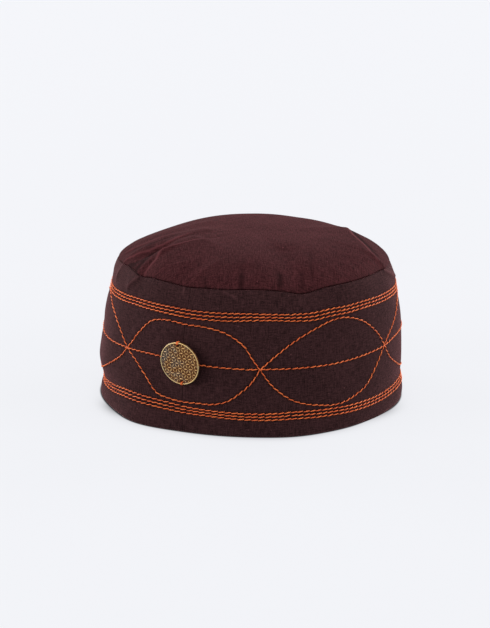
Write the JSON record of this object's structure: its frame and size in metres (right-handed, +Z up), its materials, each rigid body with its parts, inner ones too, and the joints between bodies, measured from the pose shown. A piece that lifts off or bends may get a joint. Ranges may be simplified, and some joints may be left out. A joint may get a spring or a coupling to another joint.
{
  "type": "fez hat",
  "caption": "Soft round brimless cotton cap: an upright side band with stitched rings and crossing waves, a low puffed crown with soft folds, and a round ornamented brass disc.",
  "frame": {"origin": "middle of the cap at the level of the band's lower edge, which rests on the surface", "axes": "+Z up, -Y towards the front of the cap, +X towards its right in the front view"},
  "size_m": [0.19, 0.1888, 0.1045],
  "materials": {
    "band_cotton": "dark maroon-brown plain cotton, matte, with a faint weave",
    "crown_cotton": "dark maroon cotton, matte, a little redder and lighter than the band",
    "aged_brass": "aged brass, brown in the recesses and worn bright on the rim",
    "embroidery_thread": "burnt-orange cotton thread with a soft sheen"
  },
  "bodies": {
    "root": {"band": "band_cotton", "crown": "crown_cotton", "disc": "aged_brass"}
  },
  "joints": []
}
